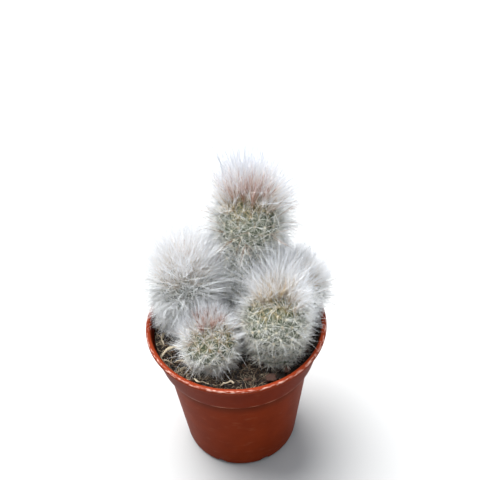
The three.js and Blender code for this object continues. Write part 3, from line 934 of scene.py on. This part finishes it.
# ---------------------------------------------------------------- Crown spines
# Stiff spines stand up in the middle of each tip, where the youngest areoles crowd together. They
# are ochre at the root, then pinkish brown and darker at the point, or ochre all along on the two
# stems at the right. Longer brown ones stick out of the wool lower down.

CROWNS = {
    # reach of the brush of spines, how far back its middle is, length and number on an areole,
    # then how many longer spines stand round it, over how wide a band, and their length
    "tall": (8.5, 2.6, 14.5, 28, 130, 15.0, 17.0),
    "left": (6.5, 4.0, 13.0, 10, 22, 9.0, 13.0),
    "front_left": (5.2, 0.6, 9.5, 46, 44, 6.0, 12.5),
    "front_right": (7.4, 2.8, 11.5, 28, 14, 8.0, 10.0),
    "right": (5.0, 1.0, 8.5, 18, 8, 8.0, 10.0),
}
SPINE_RADIUS = 0.105
SPINE_TAPER = [1.0, 0.85, 0.6, 0.0]
BRUSH_SPREAD = 0.26
STRAY_SPREAD = 0.2

pink_brown = strand_finish(
    "Pink-brown spines", 0.5, (0.74, 0.54, 0.44), 0.38,
    (0.0, (0.52, 0.38, 0.14)), (0.25, (0.56, 0.34, 0.20)),
    (0.7, (0.50, 0.24, 0.18)), (1.0, (0.18, 0.07, 0.06)),
)
ochre = strand_finish(
    "Ochre spines", 0.4, (0.80, 0.70, 0.52), 0.38,
    (0.0, (0.46, 0.33, 0.10)), (0.5, (0.64, 0.48, 0.26)), (1.0, (0.50, 0.34, 0.20)),
)
brown = strand_finish(
    "Brown spines", 0.4, (0.46, 0.30, 0.20), 0.38,
    (0.0, (0.42, 0.27, 0.12)), (0.4, (0.32, 0.17, 0.09)), (1.0, (0.15, 0.06, 0.04)),
)


def stand_spines(name, stem, owner, upright, spread, length, material, rng):
    """Stiff, nearly straight spines on chosen areoles: each leans from its areole's outward
    direction towards the stem's tip by its upright share, with a random spread."""
    areoles = stem["areoles"]
    aim = unit(
        areoles["outward"][owner]
        + stem["axis"] * upright[:, None]
        + spread * rng.normal(size=(len(owner), 3))
    )
    bend = 0.05 * rng.normal(size=(len(owner), 3))
    wave = np.full(len(owner), 0.1)
    line = keep_clear(grow(areoles["root"][owner], aim, length, 4, bend, wave, rng))
    taper = SPINE_RADIUS * np.array(SPINE_TAPER)
    spines = strand_mesh(name, line, np.broadcast_to(taper, line.shape[:2]), rng)
    dress(spines, material, "brown_spines")
    return spines


for number, stem in enumerate(stems):
    name = stem["name"]
    reach, set_back, long, each, strays, band, stray_long = CROWNS[name]
    rng = np.random.default_rng(80 + number)
    distance = stem["areoles"]["distance"]
    near = np.linalg.norm(stem["areoles"]["root"] - stem["tip"] - (0, set_back, 0), axis=1) < reach
    owner = np.repeat(np.flatnonzero(near), each)
    upright = np.clip(1.0 - 0.5 * distance[owner] / reach, 0.3, 1.0)
    length = long * rng.uniform(0.55, 1.1, len(owner))
    warm = ochre if name in ("front_right", "right") else pink_brown
    brush = stand_spines(f"spines_{name}", stem, owner, upright, BRUSH_SPREAD, length, warm, rng)
    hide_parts(f"crown_spines_{name}")
    ring = np.flatnonzero((distance >= 0.8 * reach) & (distance < reach + band))
    owner = rng.choice(ring, strays)
    upright = np.clip(0.5 - 0.4 * (distance[owner] - reach) / band, 0.0, 0.5)
    length = stray_long * rng.uniform(0.6, 1.1, strays)
    stand_spines(f"long_spines_{name}", stem, owner, upright, STRAY_SPREAD, length, brown, rng)

# ---------------------------------------------------------------- Peat crumbs and fibres
# The top of the soil is loose: crumbs of peat, short brown root fibres, and fine pale root hairs,
# thickest on the left. Nothing holds them but their weight.

CRUMBS = 1700
CRUMB_MIN = 0.3
CRUMB_MAX = 1.25


def scatter_on_soil(count, inner, outer, rng, middle=0.0, width=np.pi):
    """Random (x, y) places on the soil between two radii, within width of a middle angle."""
    radius = np.sqrt(rng.uniform(inner**2, outer**2, count))
    angle = middle + rng.uniform(-width, width, count)
    return np.stack([radius * np.cos(angle), radius * np.sin(angle)], -1)


rng = np.random.default_rng(100)
spot = scatter_on_soil(CRUMBS, 12, soil_edge - 1.0, rng)
size = CRUMB_MIN + (CRUMB_MAX - CRUMB_MIN) * rng.uniform(0, 1, CRUMBS) ** 3
height = soil_top(spot[:, 0], spot[:, 1]) + 0.3 * size
crumbs = lump_mesh("peat_crumbs", np.column_stack([spot, height]), size, rng)
crumb_finish, tree, skin = finish("Peat crumbs")
crumb_colour = ramp(
    tree,
    add(tree, "Group", node_tree=strand_shade).outputs["Kind"],
    (0.0, (0.005, 0.004, 0.0035)),
    (0.55, (0.015, 0.0095, 0.007)),
    (0.85, (0.055, 0.027, 0.016)),
    (1.0, (0.15, 0.085, 0.05)),
)
connect(tree, skin, {"Base Color": crumb_colour, "Roughness": 0.9})
dress(crumbs, crumb_finish, "peat")

FIBRE_TAPER = np.array([0.8, 1, 1, 1, 0.9, 0.7, 0])


def lay_fibres(name, spot, length, radius, curl, arch, rng):
    """Strands that lie on the soil: each runs level in a random direction, curls sideways as a
    part of a circle, and arches up a little between its ends."""
    points = len(FIBRE_TAPER)
    u = np.linspace(0, 1, points)[None]
    heading = rng.uniform(0, 2 * np.pi, len(spot))[:, None] + curl[:, None] * u
    step = length[:, None] / (points - 1)
    x = spot[:, :1] + np.cumsum(np.cos(heading) * step, 1) - length[:, None] * 0.3
    y = spot[:, 1:] + np.cumsum(np.sin(heading) * step, 1)
    inside = np.minimum(1, (soil_edge - 0.6) / np.hypot(x, y))
    x, y = x * inside, y * inside
    z = soil_top(x, y) + radius[:, None] * 0.6 + arch[:, None] * np.sin(np.pi * u)
    return strand_mesh(name, np.stack([x, y, z], -1), radius[:, None] * FIBRE_TAPER, rng)


brown_fibre = strand_finish(
    "Root fibres", 0.5, (0.40, 0.30, 0.20), 0.8,
    (0.0, (0.05, 0.03, 0.018)), (0.6, (0.14, 0.085, 0.05)), (1.0, (0.22, 0.14, 0.08)),
)
pale_fibre = strand_finish(
    "Pale root hairs and straw", 0.5, (0.30, 0.20, 0.12), 0.75,
    (0.0, (0.26, 0.20, 0.13)), (0.5, (0.44, 0.36, 0.25)), (1.0, (0.58, 0.51, 0.38)),
)
FIBRES = [
    # name, how many, middle angle, width, length, thickness, curl, arch, material
    ("root_fibres", 420, 0.0, np.pi, 6.0, 0.10, 1.6, 0.6, brown_fibre),
    ("root_hairs_left", 230, 3.35, 0.75, 6.0, 0.07, 2.2, 0.9, pale_fibre),
    ("root_hairs_front", 200, 4.6, 0.7, 4.5, 0.06, 1.8, 0.7, pale_fibre),
    ("straw_bits", 70, 3.6, 0.8, 6.5, 0.22, 2.4, 0.9, pale_fibre),
]
for name, count, middle, width, long, thick, curl, arch, material in FIBRES:
    spot = scatter_on_soil(count, 22, soil_edge - 1.5, rng, middle, width)
    lengths = long * rng.uniform(0.5, 1.4, count)
    radii = thick * rng.uniform(0.6, 1.3, count)
    curls = curl * rng.normal(size=count)
    arches = arch * rng.uniform(0, 1.2, count)
    dress(lay_fibres(name, spot, lengths, radii, curls, arches, rng), material, "straw")

# ---------------------------------------------------------------- Straw curls
# Six larger curls of dry leaf sheath that lie on the soil round its edge, held by nothing. Each is
# a thin strip rolled along its length, closed at its ends and bowed up off the soil.

STRAWS = [
    # middle x and y, length, heading, sideways bow, arch, thickness, as in the CAD model
    (-29.5, -14.5, 11.0, 0.15, 2.2, 1.6, 0.65),
    (-24.5, -22.5, 10.0, 2.4, -1.4, 1.1, 0.50),
    (-33.8, -5.0, 8.0, 1.5, 1.2, 0.8, 0.50),
    (-35.0, 4.5, 6.0, 1.5, -0.8, 0.9, 0.50),
    (-16.5, -31.5, 8.0, -0.5, -1.2, 0.9, 0.45),
    (-5.0, -34.0, 6.0, 0.1, 0.8, 0.7, 0.45),
]
STRAW_SIDES = 16
STRAW_ROWS = 60
STRAW_CLEARANCE = 0.35

dry_straw = earthy(
    "Dry straw", 2600, 0.6, 0.0003, 0.75,
    (0.3, (0.18, 0.12, 0.07)),
    (0.46, (0.52, 0.43, 0.29)),
    (0.66, (0.78, 0.71, 0.57)),
)


def sheath(straw, number):
    """A rolled strip along an arched, bowed line. Its section is an ellipse pressed in on one
    side, which turns as it goes, and its width swells and shrinks and closes at both ends."""
    x, y, length, heading, bow, arch, radius = straw
    along = np.linspace(-0.5, 0.5, STRAW_ROWS)
    hump = 1 - 4 * along**2
    line_x = np.array([1.0, 0, 0])
    off_line = bow * hump + 0.25 * ripple(9 * along[:, None] * line_x, 3.0, 140 + number)
    px = x + np.cos(heading) * length * along - np.sin(heading) * off_line
    py = y + np.sin(heading) * length * along + np.cos(heading) * off_line
    pz = soil_lumps(px, py) + radius + STRAW_CLEARANCE + arch * hump
    line = np.stack([px, py, pz], -1)
    forward = unit(np.gradient(line, axis=0))
    side = unit(np.cross(forward, (0, 0, 1)))
    up = np.cross(side, forward)
    close = np.sqrt(np.clip(1 - np.abs(2 * along) ** 7, 0, 1))
    swell = ripple((length * along + number)[:, None] * line_x, 2.5, 150)
    width = 0.95 * radius * close * (1.15 + 0.35 * swell)
    angle = around(STRAW_SIDES)
    twist = 1.4 * along + number
    across = np.cos(angle) * width
    depth = 0.42 * np.sin(angle) * width - 0.30 * width * np.cos(angle) ** 2
    a = across * np.cos(twist) - depth * np.sin(twist)
    b = across * np.sin(twist) + depth * np.cos(twist)
    return line[None] + a[..., None] * side[None] + b[..., None] * up[None]


for number, straw in enumerate(STRAWS):
    curl = surface(f"straw_curl_{number + 1}", sheath(straw, number)[:, ::-1])
    dress(curl, dry_straw, "straw", f"straw_{number + 1}")

# ---------------------------------------------------------------- Bark chips
# Red-brown chips of bark at the front right, part of the potting mix. Each is a flattened,
# broken lump that stands where its CAD solid does.

BARK_SIDES = 28
BARK_ROWS = 16

bark = earthy(
    "Bark", 2200, 0.8, 0.0004, 0.85,
    (0.35, (0.012, 0.006, 0.004)),
    (0.55, (0.055, 0.020, 0.011)),
    (0.75, (0.10, 0.040, 0.022)),
)
chip_names = [name for name in sorted(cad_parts) if name.startswith("bark_chip_")]
for number, name in enumerate(chip_names):
    low, high = (np.array(corner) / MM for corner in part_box(name))
    angle = around(BARK_SIDES)
    down = np.linspace(0, np.pi, BARK_ROWS)[None]
    x, y, z = np.cos(angle) * np.sin(down), np.sin(angle) * np.sin(down), -np.cos(down)
    ball = np.stack([x, y, z + 0 * angle], -1)
    blocky = ball / np.maximum(np.abs(ball).max(-1, keepdims=True), 0.72)
    lump = blocky * (0.80 + 0.13 * ripple(ball * 3, 2.0, 120 + number))[..., None]
    chip = surface(f"bark_{number + 1}", (low + high) / 2 + lump * (high - low) / 2)
    dress(chip, bark, "bark", name)

# ---------------------------------------------------------------- Studio
# A plain pale floor, a big soft light above and behind on the left, a pale sky that fills the
# shadows and shows as a white backdrop, and the camera that looks down on the pot from the front.

CAMERA_ELEVATION = np.radians(40.7)
CAMERA_ROLL = np.radians(-2.86)
CAMERA_DISTANCE = 343.7
CAMERA_AIM = np.array([3.8, 0.0, 125.8])
CAMERA_LENS = 60.0
KEY_FROM = np.array([-0.27, 0.33, 1.0])
KEY_SOFTNESS = np.radians(50)
KEY_STRENGTH = 8.2
FILL_AT_HORIZON = 0.10
FILL_OVERHEAD = 1.35
FLOOR_HALF = 4  # metres


def turned_to(towards):
    """A rotation whose third axis points along a direction, with its first axis level."""
    back = unit(np.array(towards, float))
    level = unit(np.cross((0, 1, 0), back))
    return Matrix(np.column_stack([level, np.cross(back, level), back]).tolist()).to_4x4()


floor_corners = [(x * FLOOR_HALF, y * FLOOR_HALF, 0) for x, y in ((-1, -1), (1, -1), (1, 1), (-1, 1))]
floor_mesh = bpy.data.meshes.new("studio_floor")
floor_mesh.from_pydata(floor_corners, [], [(0, 1, 2, 3)])
studio_floor = link_object("studio_floor", floor_mesh)
paper, tree, skin = finish("Studio paper")
connect(tree, skin, {"Base Color": (0.39,) * 3, "Roughness": 0.9, "Specular IOR Level": 0.1})
floor_mesh.materials.append(paper)

overhead = bpy.data.lights.new("overhead", "SUN")
overhead.energy = KEY_STRENGTH
overhead.angle = KEY_SOFTNESS
overhead.color = (1.0, 0.995, 0.985)
link_object("overhead", overhead).matrix_world = turned_to(KEY_FROM)

world = bpy.data.worlds.new("studio")
world.use_nodes = True
tree = world.node_tree
direction = add(tree, "TexCoord").outputs["Generated"]
rise = add(tree, "SeparateXYZ", {0: direction}).outputs["Z"]
fill = fade(tree, rise, 0.0, 1.0, FILL_AT_HORIZON, FILL_OVERHEAD)
seen = add(tree, "LightPath").outputs["Is Camera Ray"]
backdrop = add(tree, "Math", {0: fill, 1: seen}, operation="ADD").outputs[0]
connect(tree, tree.nodes["Background"], {"Color": (0.90, 0.95, 1.0), "Strength": backdrop})
bpy.context.scene.world = world
bpy.context.scene.view_settings.view_transform = "Standard"

back = np.array([0, -np.cos(CAMERA_ELEVATION), np.sin(CAMERA_ELEVATION)])
level = np.array([1.0, 0, 0])
upright = np.cross(back, level)
right = np.cos(CAMERA_ROLL) * level + np.sin(CAMERA_ROLL) * upright
up = np.cross(back, right)
camera_data = bpy.data.cameras.new("camera")
camera_data.sensor_width = 36
camera_data.lens = CAMERA_LENS
camera = link_object("camera", camera_data)
aimed = Matrix(np.column_stack([right, up, back]).tolist()).to_4x4()
camera.matrix_world = Matrix.Translation((CAMERA_AIM + back * CAMERA_DISTANCE) * MM) @ aimed
bpy.context.scene.camera = camera
